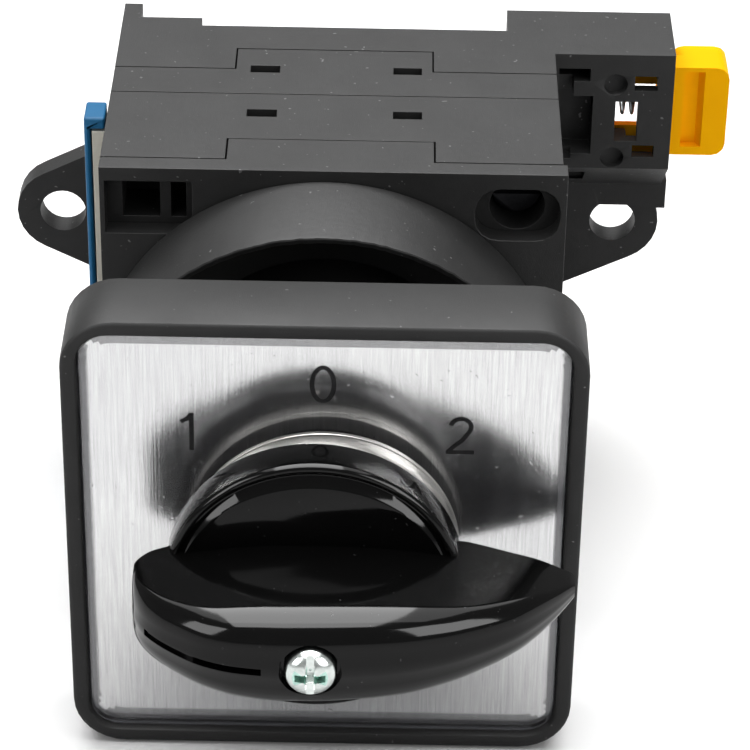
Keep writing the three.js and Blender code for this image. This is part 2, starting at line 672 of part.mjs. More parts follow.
function makeBase() {
  const wing = BASE_FRONT.wing + PARTING_GAP / 2;
  const tongue = BASE_FRONT.tongue + PARTING_GAP / 2;
  const t = BASE_FRONT.tongueHalf + PARTING_GAP;
  const floor = CHANNEL_FLOOR_DEPTH;
  const body = prismZ([
    [BODY.left, wing], [-t, wing], [-t, tongue], [t, tongue], [t, wing], [BODY.right, wing],
    [BODY.right, BACK_DEPTH], [RIGHT_WALL_INNER, BACK_DEPTH], [RIGHT_WALL_INNER, floor],
    [POST.ledgeEnd, floor], [POST.ledgeEnd, LEDGE_DEPTH], [POST.inner, LEDGE_DEPTH],
    [POST.inner, BACK_DEPTH], [BODY.left, BACK_DEPTH],
  ], -BODY.top, BODY.top);
  const side = prismX([
    [BLOCK.front, BODY.top], [BACK_DEPTH, BODY.top], [BACK_DEPTH, BLOCK.rearLow],
    [BLOCK.slopeDepth, BLOCK.rearLow], [BLOCK.front, BLOCK.frontLow],
  ], RIGHT_WALL_INNER + 0.5, BLOCK.right);
  const hooks = [-HOOK.high, HOOK.low].map((z) => block(
    POST.inner - 0.5, HOOK.tip, HOOK.front, BACK_DEPTH, z, z + HOOK.high - HOOK.low,
  ));
  const pad = block(10, RIGHT_WALL_INNER - 0.6, floor - 0.5, LEDGE_DEPTH, -20, 20);
  const ears = [-1, 1].map((s) => prismY(earOutline(s), EAR.front, BACK_DEPTH));
  const shoulderTop = BLOCK.rearLow + 0.5;
  const shoulder = block(28, EAR.shoulderRight, EAR.front, BACK_DEPTH, EAR.shoulderLow, shoulderTop);
  const whole = joined([body, side, pad, shoulder, ...hooks, ...ears]);
  return cut(whole, [
    ...chamberTools(STAGES[1]),
    ...boltTools(CLEARANCE - 0.05),
    earHole(-1),
    earHole(1).subtract(block(20, 40, EAR.front - 2, BACK_DEPTH + 2, EAR.flatTop, 5)),
    ...latchWay(),
    ...blockWindows(),
  ]);
}

// The latch slides in a stepped tunnel, and its spring lies in a chamber in front of it.
// Behind the chamber the latch and the tunnel are open, so one can see right through the block.
function latchWay() {
  const { low, high, front, step, narrowLow, narrowHigh } = LATCH;
  const near = RIGHT_WALL_INNER - 1;
  const far = BLOCK.right + 1;
  const gap = CLEARANCE;
  return [
    block(near, far, front - gap, step + gap, low - gap, high + gap),
    block(near, far, step, BACK_DEPTH + 1, narrowLow - gap, narrowHigh + gap),
    block(27.4, 34.4, 55.8, front, 13.1, 18.7),
    block(31.0, 34.4, 55.8, front, low, high),
    block(29.0, 34.6, step, BACK_DEPTH + 1, 9.9, narrowLow),
  ];
}

function blockWindows() {
  const front = BLOCK.front - 1;
  const way = LATCH.front;
  return [
    block(29.5, 31.9, front, way, 13.8, 18.5),
    block(31.4, 33.8, front, way, 19.8, 21.5),
    block(31.5, 33.8, front, way, 11.9, 13.3),
    rodY(29.4, 20.5, 1.25, front, BLOCK.front + 0.9, 16),
    rodY(29.4, 11.8, 1.25, front, BLOCK.front + 0.9, 16),
    block(23.4, 26.7, front, BLOCK.front + 3.2, 20.8, 22.3),
    block(23.4, 27.1, front, BLOCK.front + 3.2, 12.2, 19.1),
    block(23.4, 25.0, front, BLOCK.front + 1.6, 11.6, 21.5),
    block(23.4, 26.8, front, BLOCK.front + 5.6, 6.3, 8.9),
  ];
}

function makeLatch() {
  const {
    low, high, front, rear, right, narrowLow, narrowHigh, step, stemLeft, toothTip, toothFront, grooveLeft,
    grooveRight, grooveDepth,
  } = LATCH;
  const tabLeft = BLOCK.right + CLEARANCE;
  const middle = (low + high) / 2;
  const stemRear = rear - 0.2;
  const tab = prismY(roundedRectangle((right - tabLeft) / 2, (high - low) / 2, 1.4, 3), front, rear)
    .translate([(right + tabLeft) / 2, 0, middle]);
  const groove = prismZ([
    [grooveLeft, front - 1], [grooveRight + 0.3, front - 1], [grooveRight, front],
    [grooveRight - 0.6, front + grooveDepth], [grooveLeft, front + grooveDepth],
  ], low + 1, high - 0.5);
  const whole = joined([
    tab,
    block(stemLeft, tabLeft + 2, front, step, low, high),
    block(stemLeft, tabLeft + 2, step - 0.1, stemRear, narrowLow, narrowHigh),
    block(toothTip + 1.5, stemLeft + 0.1, toothFront, stemRear, narrowLow, narrowHigh),
    prismZ([
      [toothTip, toothFront], [toothTip + 1.6, toothFront], [toothTip + 1.6, stemRear],
      [toothTip + 1.2, stemRear],
    ], narrowLow, narrowHigh),
    block(28.0, 29.3, 56.2, front + 0.1, 14.7, 18.2),
  ]);
  const lipTop = 13.3;
  const lipBack = front + 0.9;
  return cut(whole, [
    block(29.3, 34.4, front - 1, rear + 1, lipTop, 18.3),
    block(29.3, 34.4, lipBack, rear + 1, 10.4, lipTop + 0.1),
    groove,
  ]);
}

const latchGroup = new THREE.Group();
assembly.add(latchGroup);
place(housing, 'rail_base', makeBase(), MATERIALS.darkPlastic);
place(latchGroup, 'rail_latch', makeLatch(), MATERIALS.yellow);
place(
  housing, 'latch_spring',
  coil(1.4, 0.22, 34.1 - 29.6, 4).rotate([0, 90, 0]).translate([29.6, 57.4, 17.0]),
  MATERIALS.steel,
);

// ---- Marker strip on the left side ----

const MARKER = { front: 38.7, rear: 42.4, left: -24.9, low: -20, headLow: 22.7 };
place(housing, 'marker_strip', joined([
  block(MARKER.left, MARKER.left + 0.65, MARKER.front, MARKER.rear, MARKER.low, BODY.top),
  block(MARKER.left, BODY.left - 0.2, MARKER.front, MARKER.rear, MARKER.headLow, BODY.top),
]), MATERIALS.blue);
place(
  housing, 'marker_backing',
  block(MARKER.left + 0.8, BODY.left - 0.2, MARKER.front, MARKER.rear, MARKER.low, MARKER.headLow - 0.2),
  MATERIALS.creamPlastic,
);

export default assembly;
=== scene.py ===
"""Looks of a manual transfer switch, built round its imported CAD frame.

Metres, +Z up. The front plate faces -Y and the shaft lies along Y. Depths are in millimetres
behind the front face of the bezel.
"""
import math
import random

import bmesh
import bpy
from mathutils import Matrix, Vector


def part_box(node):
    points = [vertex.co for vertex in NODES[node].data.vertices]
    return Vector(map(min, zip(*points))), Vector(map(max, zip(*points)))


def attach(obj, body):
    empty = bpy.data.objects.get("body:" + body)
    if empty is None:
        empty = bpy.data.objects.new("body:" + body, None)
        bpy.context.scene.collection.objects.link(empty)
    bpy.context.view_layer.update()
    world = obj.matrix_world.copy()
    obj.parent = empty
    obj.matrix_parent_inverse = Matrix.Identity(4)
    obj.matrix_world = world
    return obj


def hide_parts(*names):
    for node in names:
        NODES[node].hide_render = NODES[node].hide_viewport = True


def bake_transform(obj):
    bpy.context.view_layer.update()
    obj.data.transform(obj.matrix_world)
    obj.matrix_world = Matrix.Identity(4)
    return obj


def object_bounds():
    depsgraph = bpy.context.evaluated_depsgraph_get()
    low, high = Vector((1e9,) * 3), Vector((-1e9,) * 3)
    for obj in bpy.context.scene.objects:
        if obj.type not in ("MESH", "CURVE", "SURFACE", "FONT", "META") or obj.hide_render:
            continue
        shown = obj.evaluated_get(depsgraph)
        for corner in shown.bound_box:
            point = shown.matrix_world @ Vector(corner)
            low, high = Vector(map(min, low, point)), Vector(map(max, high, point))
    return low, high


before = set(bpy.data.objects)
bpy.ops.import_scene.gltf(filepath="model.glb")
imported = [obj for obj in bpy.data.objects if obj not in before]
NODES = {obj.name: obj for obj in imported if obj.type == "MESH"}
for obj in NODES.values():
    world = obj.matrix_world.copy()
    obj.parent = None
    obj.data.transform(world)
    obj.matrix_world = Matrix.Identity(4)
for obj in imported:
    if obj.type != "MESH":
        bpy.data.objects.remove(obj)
CAD_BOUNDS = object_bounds()
MM = 0.001
FRONT_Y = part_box("bezel_frame")[0].y
FLOOR_Z = CAD_BOUNDS[0][2]
HALVES = ("top", "bottom")
STAGES = (1, 2)


def depth(mm):
    """The y of a depth behind the bezel's front face."""
    return FRONT_Y + mm * MM


def point(x, d, z):
    """A point from x, depth and z in millimetres."""
    return (x * MM, depth(d), z * MM)


def extent(node):
    """Half width, middle x, front depth and back depth of a CAD node, in millimetres."""
    low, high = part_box(node)
    half = (high.x - low.x) / 2 / MM
    middle = (high.x + low.x) / 2 / MM
    return half, middle, (low.y - FRONT_Y) / MM, (high.y - FRONT_Y) / MM


# ---- Materials ----

def new_material(name):
    material = bpy.data.materials.new(name)
    material.use_nodes = True
    nodes = material.node_tree.nodes
    return material, nodes, material.node_tree.links, nodes["Principled BSDF"]


def set_values(shader, **values):
    for key, value in values.items():
        shader.inputs[key.replace("_", " ")].default_value = value


def object_coordinates(nodes, links, scale=(1, 1, 1)):
    """Coordinates in metres on the piece, stretched by scale."""
    source = nodes.new("ShaderNodeTexCoord")
    mapping = nodes.new("ShaderNodeMapping")
    mapping.inputs["Scale"].default_value = scale
    links.new(source.outputs["Object"], mapping.inputs["Vector"])
    return mapping.outputs["Vector"]


def noise(nodes, links, vector, scale, detail=3.0, roughness=0.5):
    texture = nodes.new("ShaderNodeTexNoise")
    texture.inputs["Scale"].default_value = scale
    texture.inputs["Detail"].default_value = detail
    texture.inputs["Roughness"].default_value = roughness
    links.new(vector, texture.inputs["Vector"])
    return texture.outputs["Fac"]


def ramp(nodes, links, factor, stops):
    """A colour ramp; stops are (position, colour) pairs."""
    node = nodes.new("ShaderNodeValToRGB")
    elements = node.color_ramp.elements
    while len(elements) < len(stops):
        elements.new(0.5)
    for element, (position, colour) in zip(elements, stops):
        element.position = position
        element.color = (*colour, 1) if len(colour) == 3 else colour
    links.new(factor, node.inputs["Fac"])
    return node.outputs["Color"]


def grey(value):
    return (value, value, value)


def rescale(nodes, links, factor, low, high):
    node = nodes.new("ShaderNodeMapRange")
    node.inputs["To Min"].default_value = low
    node.inputs["To Max"].default_value = high
    links.new(factor, node.inputs["Value"])
    return node.outputs["Result"]


def bump(nodes, links, height, strength, distance, normal=None):
    node = nodes.new("ShaderNodeBump")
    node.inputs["Strength"].default_value = strength
    node.inputs["Distance"].default_value = distance
    links.new(height, node.inputs["Height"])
    if normal is not None:
        links.new(normal, node.inputs["Normal"])
    return node.outputs["Normal"]


def moulded_plastic(name, dark, light, roughness, grain=0.25, specular=0.35, dust=None):
    """Plastic with a fine spark-eroded grain, slow mottling, a little sheen variation and,
    if a dust colour is given, sparse pale specks."""
    material, nodes, links, shader = new_material(name)
    set_values(shader, Specular_IOR_Level=specular)
    vector = object_coordinates(nodes, links)
    mottle = noise(nodes, links, vector, 180, 4, 0.6)
    colour = ramp(nodes, links, mottle, [(0.3, dark), (0.7, light)])
    if dust:
        specks = noise(nodes, links, vector, 1900, 1, 0.4)
        cover = ramp(nodes, links, specks, [(0.76, grey(0.0)), (0.79, grey(1.0))])
        mixed = nodes.new("ShaderNodeMix")
        mixed.data_type = "RGBA"
        mixed.inputs["B"].default_value = (*dust, 1)
        links.new(cover, mixed.inputs["Factor"])
        links.new(colour, mixed.inputs["A"])
        colour = mixed.outputs["Result"]
    links.new(colour, shader.inputs["Base Color"])
    sheen = noise(nodes, links, object_coordinates(nodes, links, (1, 0.5, 1)), 90, 5, 0.6)
    links.new(
        rescale(nodes, links, sheen, roughness - 0.14, roughness + 0.14), shader.inputs["Roughness"]
    )
    fine = noise(nodes, links, vector, 9000, 2, 0.7)
    coarse = noise(nodes, links, vector, 1500, 2)
    first = bump(nodes, links, coarse, grain * 0.5, 0.00004)
    links.new(bump(nodes, links, fine, grain, 0.00002, first), shader.inputs["Normal"])
    return material


def polished_black(name):
    """Glossy black moulding with faint smears and specks of dust."""
    material, nodes, links, shader = new_material(name)
    set_values(shader, Specular_IOR_Level=0.16)
    vector = object_coordinates(nodes, links)
    specks = noise(nodes, links, vector, 2600, 1, 0.4)
    links.new(
        ramp(nodes, links, specks, [(0.77, grey(0.0025)), (0.80, grey(0.05))]),
        shader.inputs["Base Color"],
    )
    smear = noise(nodes, links, object_coordinates(nodes, links, (1, 1, 0.4)), 150, 5, 0.65)
    links.new(rescale(nodes, links, smear, 0.05, 0.13), shader.inputs["Roughness"])
    ripple = noise(nodes, links, vector, 160, 2)
    links.new(bump(nodes, links, ripple, 0.05, 0.0002), shader.inputs["Normal"])
    return material


def brushed_aluminium(name):
    """Vertically brushed sheet under a clear film, with specks and a few long scratches."""
    material, nodes, links, shader = new_material(name)
    set_values(shader, Metallic=1.0, Coat_Weight=0.6, Coat_Roughness=0.05)
    brushing = object_coordinates(nodes, links, (1, 1, 0.03))
    lines = noise(nodes, links, brushing, 5200, 4, 0.7)
    broad = noise(nodes, links, brushing, 900, 3, 0.6)
    vector = object_coordinates(nodes, links)
    cloud = noise(nodes, links, vector, 60, 3)
    tone = nodes.new("ShaderNodeMix")
    tone.data_type = "RGBA"
    tone.blend_type = "MULTIPLY"
    tone.inputs["Factor"].default_value = 1.0
    streaks = ramp(nodes, links, lines, [(0.3, grey(0.61)), (0.7, grey(0.77))])
    clouds = ramp(nodes, links, cloud, [(0.3, (0.90, 0.90, 0.91)), (0.7, (0.98, 0.98, 0.98))])
    links.new(streaks, tone.inputs["A"])
    links.new(clouds, tone.inputs["B"])
    links.new(tone.outputs["Result"], shader.inputs["Base Color"])
    links.new(rescale(nodes, links, broad, 0.11, 0.23), shader.inputs["Roughness"])
    first = bump(nodes, links, lines, 0.35, 0.00003)
    dents = noise(nodes, links, vector, 1400, 1)
    pits = ramp(nodes, links, dents, [(0.22, grey(0.0)), (0.26, grey(1.0))])
    links.new(bump(nodes, links, pits, 0.3, 0.00005, first), shader.inputs["Normal"])
    return material


def metal(name, colour, roughness, streak=(1, 1, 1), scale=3000, strength=0.2):
    material, nodes, links, shader = new_material(name)
    set_values(shader, Metallic=1.0)
    vector = object_coordinates(nodes, links, streak)
    tone = noise(nodes, links, vector, scale, 3)
    dark = tuple(0.78 * c for c in colour)
    links.new(ramp(nodes, links, tone, [(0.3, dark), (0.7, colour)]), shader.inputs["Base Color"])
    links.new(
        rescale(nodes, links, tone, roughness * 0.7, roughness * 1.3), shader.inputs["Roughness"]
    )
    links.new(bump(nodes, links, tone, strength, 0.00002), shader.inputs["Normal"])
    return material


def clear_plastic(name, colour, alpha, roughness):
    material, nodes, links, shader = new_material(name)
    set_values(shader, Base_Color=(*colour, 1), Alpha=alpha, Specular_IOR_Level=0.3)
    vector = object_coordinates(nodes, links)
    haze = noise(nodes, links, vector, 300, 3)
    links.new(rescale(nodes, links, haze, roughness, roughness * 2.5), shader.inputs["Roughness"])
    return material


def floor_material():
    material, nodes, links, shader = new_material("studio_floor")
    set_values(shader, Specular_IOR_Level=0.1, Roughness=0.9)
    vector = object_coordinates(nodes, links)
    tone = noise(nodes, links, vector, 6, 2)
    links.new(ramp(nodes, links, tone, [(0.3, grey(0.96)), (0.7, grey(0.98))]), shader.inputs["Base Color"])
    return material


HOUSING = moulded_plastic("housing_grain", grey(0.006), grey(0.011), 0.55, 0.9, 0.22, grey(0.10))
BEZEL = moulded_plastic("bezel_satin", grey(0.009), grey(0.014), 0.60, 0.8, 0.21, grey(0.10))
KNOB = polished_black("knob_gloss")
PLATE = brushed_aluminium("plate_brushed")
INK = moulded_plastic("legend_ink", grey(0.003), grey(0.006), 0.6, 0.02, 0.1)
CLEAR = clear_plastic("cover_clear", (0.12, 0.12, 0.13), 0.05, 0.03)
# Painted shade: the cover's rim is a darker, less clear plastic that stands in for the light its bevel
# bends away.
COVER_RIM_PAINTED_SHADE = clear_plastic("cover_rim_painted_shade", (0.10, 0.10, 0.11), 0.62, 0.06)
COLLAR = metal("collar_satin", (0.25, 0.245, 0.235), 0.34, (1, 30, 1), 700, 0.1)
ZINC = metal("zinc_bright", (0.60, 0.64, 0.62), 0.20, (1, 1, 1), 1800, 0.15)
ZINC_RECESS = metal("zinc_recess", (0.42, 0.62, 0.55), 0.30, (1, 1, 1), 2500, 0.2)
BLACK_STEEL = metal("bolt_black", (0.05, 0.05, 0.055), 0.35)
STEEL = metal("steel_drawn", (0.50, 0.51, 0.52), 0.30, (1, 0.1, 1), 3000, 0.2)
BRASS = metal("brass_stamped", (0.80, 0.60, 0.28), 0.28)
COPPER = metal("copper_stamped", (0.85, 0.50, 0.33), 0.28)
NYLON = moulded_plastic("nylon_natural", (0.60, 0.56, 0.46), (0.70, 0.66, 0.56), 0.45, 0.1)
CREAM = moulded_plastic("cream_card", (0.46, 0.44, 0.38), (0.55, 0.53, 0.46), 0.60, 0.15)
YELLOW = moulded_plastic("latch_yellow", (0.98, 0.44, 0.0), (1.0, 0.47, 0.0), 0.55, 0.06, 0.02)
BLUE = moulded_plastic("strip_blue", (0.010, 0.10, 0.22), (0.014, 0.12, 0.26), 0.5, 0.08, 0.1)


# ---- Mesh tools ----

def add_mesh(name, vertices, faces, material, body, replaces=(), slot=None, angle=32.0):
    """A closed mesh piece in the row frame that rides on a body."""
    mesh = bpy.data.meshes.new(name)
    mesh.from_pydata(vertices, [], faces)
    work = bmesh.new()
    work.from_mesh(mesh)
    bmesh.ops.remove_doubles(work, verts=work.verts, dist=1e-7)
    bmesh.ops.recalc_face_normals(work, faces=work.faces)
    work.to_mesh(mesh)
    work.free()
    mesh.shade_smooth()
    mesh.set_sharp_from_angle(angle=math.radians(angle))
    mesh.materials.append(material)
    piece = bpy.data.objects.new(name, mesh)
    bpy.context.scene.collection.objects.link(piece)
    if body:
        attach(piece, body)
    if replaces:
        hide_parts(*replaces)
    return piece


def add_bevel(piece, width_mm, segments=2, angle=35.0):
    modifier = piece.modifiers.new("Edges", "BEVEL")
    modifier.limit_method = "ANGLE"
    modifier.angle_limit = math.radians(angle)
    modifier.width = width_mm * MM
    modifier.segments = segments
    modifier.use_clamp_overlap = True
    modifier.harden_normals = True
    return modifier


def bridge_rings(rings, closed=False, cap_start=True, cap_end=True):
    """Vertices and faces of a skin over rings of equal length."""
    count = len(rings[0])
    vertices = [vertex for ring in rings for vertex in ring]
    faces = []
    pairs = list(zip(range(len(rings) - 1), range(1, len(rings))))
    if closed:
        pairs.append((len(rings) - 1, 0))
    for a, b in pairs:
        for i in range(count):
            j = (i + 1) % count
            faces.append((a * count + i, a * count + j, b * count + j, b * count + i))
    if not closed and cap_start:
        faces.append(tuple(range(count)))
    if not closed and cap_end:
        last = (len(rings) - 1) * count
        faces.append(tuple(last + i for i in range(count)))
    return vertices, faces


def oval_ring(half_width, half_height, d, segments, x=0.0, z=0.0):
    """An ellipse at a depth, clockwise from the top as seen from the front."""
    ring = []
    for i in range(segments):
        angle = 2 * math.pi * i / segments
        ring.append(point(x + half_width * math.sin(angle), d, z + half_height * math.cos(angle)))
    return ring


def lathe(profile, segments=96, x=0.0, z=0.0):
    """A body turned about a line along Y. profile is (radius, depth) pairs in millimetres.
    A profile that starts and ends on the axis is capped there; any other one is a closed loop."""
    open_ends = profile[0][0] == 0 and profile[-1][0] == 0
    if not open_ends:
        return bridge_rings([oval_ring(r, r, d, segments, x, z) for r, d in profile], closed=True)
    inner = [oval_ring(r, r, d, segments, x, z) for r, d in profile[1:-1]]
    vertices, faces = bridge_rings(inner, cap_start=False, cap_end=False)
    first, last = len(vertices), len(vertices) + 1
    vertices += [point(x, profile[0][1], z), point(x, profile[-1][1], z)]
    end = (len(inner) - 1) * segments
    for i in range(segments):
        j = (i + 1) % segments
        faces.append((first, j, i))
        faces.append((last, end + i, end + j))
    return vertices, faces


def rounded_ring(half_width, half_height, radius, d, corner=8, edge=6, x=0.0, z=0.0):
    """A rounded rectangle in the plane of the front plate."""
    ring = []
    corners = [(1, 1), (1, -1), (-1, -1), (-1, 1)]
    for quarter, (sx, sz) in enumerate(corners):
        cx = sx * (half_width - radius)
        cz = sz * (half_height - radius)
        start = math.pi / 2 * quarter
        for i in range(corner + 1):
            angle = start + math.pi / 2 * i / corner
            ring.append((cx + radius * math.sin(angle), cz + radius * math.cos(angle)))
        nx, nz = corners[(quarter + 1) % 4]
        ax, az = ring[-1]
        following = math.pi / 2 * (quarter + 1)
        bx = nx * (half_width - radius) + radius * math.sin(following)
        bz = nz * (half_height - radius) + radius * math.cos(following)
        for i in range(1, edge):
            t = i / edge
            ring.append((ax + (bx - ax) * t, az + (bz - az) * t))
    return [point(x + u, d, z + v) for u, v in ring]


def circle_like(ring, radius, d):
    """A circle with one point for each point of a ring about the shaft axis."""
    result = []
    for vx, _, vz in ring:
        angle = math.atan2(vx, vz)
        result.append(point(radius * math.sin(angle), d, radius * math.cos(angle)))
    return result


def smooth_curve(points, value):
    """The height at a value of x of a monotone cubic through (x, y) points."""
    xs = [p[0] for p in points]
    ys = [p[1] for p in points]
    if value <= xs[0]:
        return ys[0]
    if value >= xs[-1]:
        return ys[-1]
    slopes = [(ys[i + 1] - ys[i]) / (xs[i + 1] - xs[i]) for i in range(len(xs) - 1)]
    tangents = [slopes[0]]
    for left, right in zip(slopes, slopes[1:]):
        tangents.append(0.0 if left * right <= 0 else 2 * left * right / (left + right))
    tangents.append(slopes[-1])
    i = max(k for k in range(len(xs) - 1) if xs[k] <= value)
    span = xs[i + 1] - xs[i]
    t = (value - xs[i]) / span
    low = (1 + 2 * t) * (1 - t) ** 2 * ys[i] + t * (1 - t) ** 2 * span * tangents[i]
    high = t * t * (3 - 2 * t) * ys[i + 1] + t * t * (t - 1) * span * tangents[i + 1]
    return low + high


def tube_along(path, radius, sides=8):
    """A capped tube over a list of points in metres."""
    rings = []
    points = [Vector(p) for p in path]
    up = Vector((0, 0, 1))
    for i, here in enumerate(points):
        ahead = points[min(i + 1, len(points) - 1)]
        behind = points[max(i - 1, 0)]
        along = (ahead - behind).normalized()
        if abs(along.dot(up)) > 0.98:
            up = Vector((1, 0, 0))
        side = along.cross(up).normalized()
        up = side.cross(along).normalized()
        ring = []
        for k in range(sides):
            angle = 2 * math.pi * k / sides
            ring.append(tuple(here + side * radius * math.cos(angle) + up * radius * math.sin(angle)))
        rings.append(ring)
    return bridge_rings(rings)


def cut_with(piece, tools):
    """Takes other meshes out of a piece, then throws the tools away."""
    for tool in tools:
        modifier = piece.modifiers.new("Cut", "BOOLEAN")
        modifier.operation = "DIFFERENCE"
        modifier.solver = "EXACT"
        modifier.object = tool
    apply_modifiers(piece)
    for tool in tools:
        bpy.data.objects.remove(tool)


def join_with(piece, others):
    for other in others:
        modifier = piece.modifiers.new("Join", "BOOLEAN")
        modifier.operation = "UNION"
        modifier.solver = "EXACT"
        modifier.object = other
    apply_modifiers(piece)
    for other in others:
        bpy.data.objects.remove(other)


def apply_modifiers(piece):
    bpy.context.view_layer.update()
    graph = bpy.context.evaluated_depsgraph_get()
    mesh = bpy.data.meshes.new_from_object(piece.evaluated_get(graph))
    piece.modifiers.clear()
    piece.data = mesh


def tool_mesh(vertices, faces):
    mesh = bpy.data.meshes.new("tool")
    mesh.from_pydata(vertices, [], faces)
    work = bmesh.new()
    work.from_mesh(mesh)
    bmesh.ops.recalc_face_normals(work, faces=work.faces)
    work.to_mesh(mesh)
    work.free()
    tool = bpy.data.objects.new("tool", mesh)
    bpy.context.scene.collection.objects.link(tool)
    return tool


def tool_box(x0, x1, d0, d1, z0, z1):
    low = rounded_box_ring(x0, x1, z0, z1, d0)
    high = rounded_box_ring(x0, x1, z0, z1, d1)
    return tool_mesh(*bridge_rings([low, high]))


def rounded_box_ring(x0, x1, z0, z1, d):
    return [point(x0, d, z0), point(x1, d, z0), point(x1, d, z1), point(x0, d, z1)]


# ---- Front plate ----

SHEET_CORNER = 2.9
DIGIT_HEIGHT = 4.1
DIGIT_STROKE = 0.44
INK_PROUD = 0.03
INK_THICKNESS = 0.02
INK_LAYER_STEP = 0.002


def make_bezel():
    half, x, _, back = extent("bezel_frame")
    opening = half - 1.5
    pocket = half - 2.0
    floor = 2.0
    web = 3.6
    hole = 8.0
    web_loop = 13.0
    outer = [
        (half - 0.5, 4.5, back), (half - 0.15, 4.9, back - 0.1), (half, 5.0, back - 0.4), (half, 5.0, 0.4),
        (half - 0.05, 4.95, 0.17), (half - 0.17, 4.85, 0.05), (half - 0.35, 4.7, 0.0),
        (opening + 0.26, 3.3, 0.0), (opening + 0.1, 3.1, 0.06), (opening, 3.0, 0.24), (opening, 3.0, floor),
    ]
    rings = [rounded_ring(h, h, r, d, x=x) for h, r, d in outer]
    rings += [circle_like(rings[-1], hole, floor), circle_like(rings[-1], hole, web)]
    rings += [circle_like(rings[-1], web_loop, web)]
    rings += [rounded_ring(pocket, pocket, 3.0, web, x=x), rounded_ring(pocket, pocket, 3.0, back, x=x)]
    vertices, faces = bridge_rings(rings, closed=True)
    return add_mesh("bezel_shell", vertices, faces, BEZEL, "housing", ["bezel_frame"], "housing_plastic")


def make_plate():
    half, x, front, back = extent("legend_plate")
    hole = 8.6
    rings = [
        rounded_ring(half, half, SHEET_CORNER, back, x=x),
        rounded_ring(half, half, SHEET_CORNER, front + 0.1, x=x),
        rounded_ring(half - 0.1, half - 0.1, 2.8, front, x=x),
    ]
    rings += [circle_like(rings[0], hole, front), circle_like(rings[0], hole, back)]
    vertices, faces = bridge_rings(rings, closed=True)
    return add_mesh("legend_sheet", vertices, faces, PLATE, "housing", ["legend_plate"], "legend_aluminium")


def make_cover():
    """The clear cover. Its bevelled rim bends the light and looks darker than the sheet; that darker look
    is painted shade, drawn as a darker, less clear plastic on the rim, which also lets the rim's
    reflections show.
    """
    half, x, front, back = extent("clear_cover")
    hole = 9.8
    rim = 0.8
    rings = [
        rounded_ring(half, half, SHEET_CORNER, back, x=x),
        rounded_ring(half, half, SHEET_CORNER, front + 0.45, x=x),
        rounded_ring(half - 0.14, half - 0.14, 2.8, front + 0.26, x=x),
        rounded_ring(half - 0.45, half - 0.45, 2.6, front + 0.10, x=x),
        rounded_ring(half - 0.78, half - 0.78, 2.4, front, x=x),
    ]
    rings += [circle_like(rings[0], hole, front), circle_like(rings[0], hole, back)]
    vertices, faces = bridge_rings(rings, closed=True)
    piece = add_mesh("cover_sheet", vertices, faces, CLEAR, "housing", ["clear_cover"], "clear_plastic", 12)
    piece.data.materials.append(COVER_RIM_PAINTED_SHADE)
    # The rim's sloping faces get the darker, less clear plastic: painted shade for the light the bevel
    # bends away.
    for polygon in piece.data.polygons:
        reach = max(abs(polygon.center.x - x * MM), abs(polygon.center.z))
        polygon.material_index = 1 if reach > (half - rim) * MM and polygon.normal.y < 0.5 else 0
    return piece


def make_collar():
    half, x, front, back = extent("collar_ring")
    profile = [
        (half - 1.5, back), (half, back), (half, -0.30), (half - 0.05, -0.36), (half - 0.22, -0.40),
        (half - 0.22, -0.55), (half - 0.05, -0.60), (half, -0.66), (half - 0.02, -1.6), (half - 0.25, -2.3),
        (half - 0.55, front), (half - 1.5, front),
    ]
    vertices, faces = lathe(profile, 160, x)
    return add_mesh("collar_turned", vertices, faces, COLLAR, "housing", ["collar_ring"], "collar_metal")


def stroke(centreline, width, closed=False):
    """The left and right edges of a line of even width, as a strip of quads."""
    left, right = [], []
    count = len(centreline)
    for i, (u, v) in enumerate(centreline):
        a = centreline[(i - 1) % count] if closed or i > 0 else centreline[i]
        b = centreline[(i + 1) % count] if closed or i < count - 1 else centreline[i]
        du, dv = b[0] - a[0], b[1] - a[1]
        length = math.hypot(du, dv)
        nu, nv = -dv / length * width / 2, du / length * width / 2
        left.append((u + nu, v + nv))
        right.append((u - nu, v - nv))
    return left, right


def ink_strip(left, right, closed, x, z, front, thick):
    """Vertices and faces of a raised strip of ink."""
    count = len(left)
    rings = []
    for i in range(count):
        (lu, lv), (ru, rv) = left[i], right[i]
        rings.append([
            point(x + lu, front, z + lv), point(x + ru, front, z + rv),
            point(x + ru, front + thick, z + rv), point(x + lu, front + thick, z + lv),
        ])
    return bridge_rings(rings, closed=closed)


def arc(cx, cz, rx, rz, start, end, steps):
    """Points on an ellipse, from one angle to another, in degrees from the right."""
    result = []
    for i in range(steps + 1):
        angle = math.radians(start + (end - start) * i / steps)
        result.append((cx + rx * math.cos(angle), cz + rz * math.sin(angle)))
    return result


def digit_strips(digit, height, width):
    """Centrelines of a plain thin digit about its own middle, and whether each is a closed loop."""
    h = height / 2
    w = width
    if digit == "0":
        return [(arc(0, 0, 0.30 * height - w / 2, h - w / 2, 0, 350, 35), True)]
    if digit == "1":
        flag = [
            (0.10 * height, h - 0.02 * height), (0.02 * height, 0.36 * height),
            (-0.14 * height, 0.26 * height),
        ]
        return [
            ([(0.10 * height, -h), (0.10 * height, h)], False),
            (flag, False),
        ]
    bowl = arc(0, 0.235 * height, 0.255 * height - w / 4, 0.225 * height, 170, -35, 22)
    tail = [
        (0.04 * height, -0.12 * height), (-0.14 * height, -0.28 * height),
        (-0.27 * height, -h + w * 0.7),
    ]
    return [
        (bowl + tail, False),
        ([(-0.33 * height, -h + w / 2), (0.31 * height, -h + w / 2)], False),
    ]


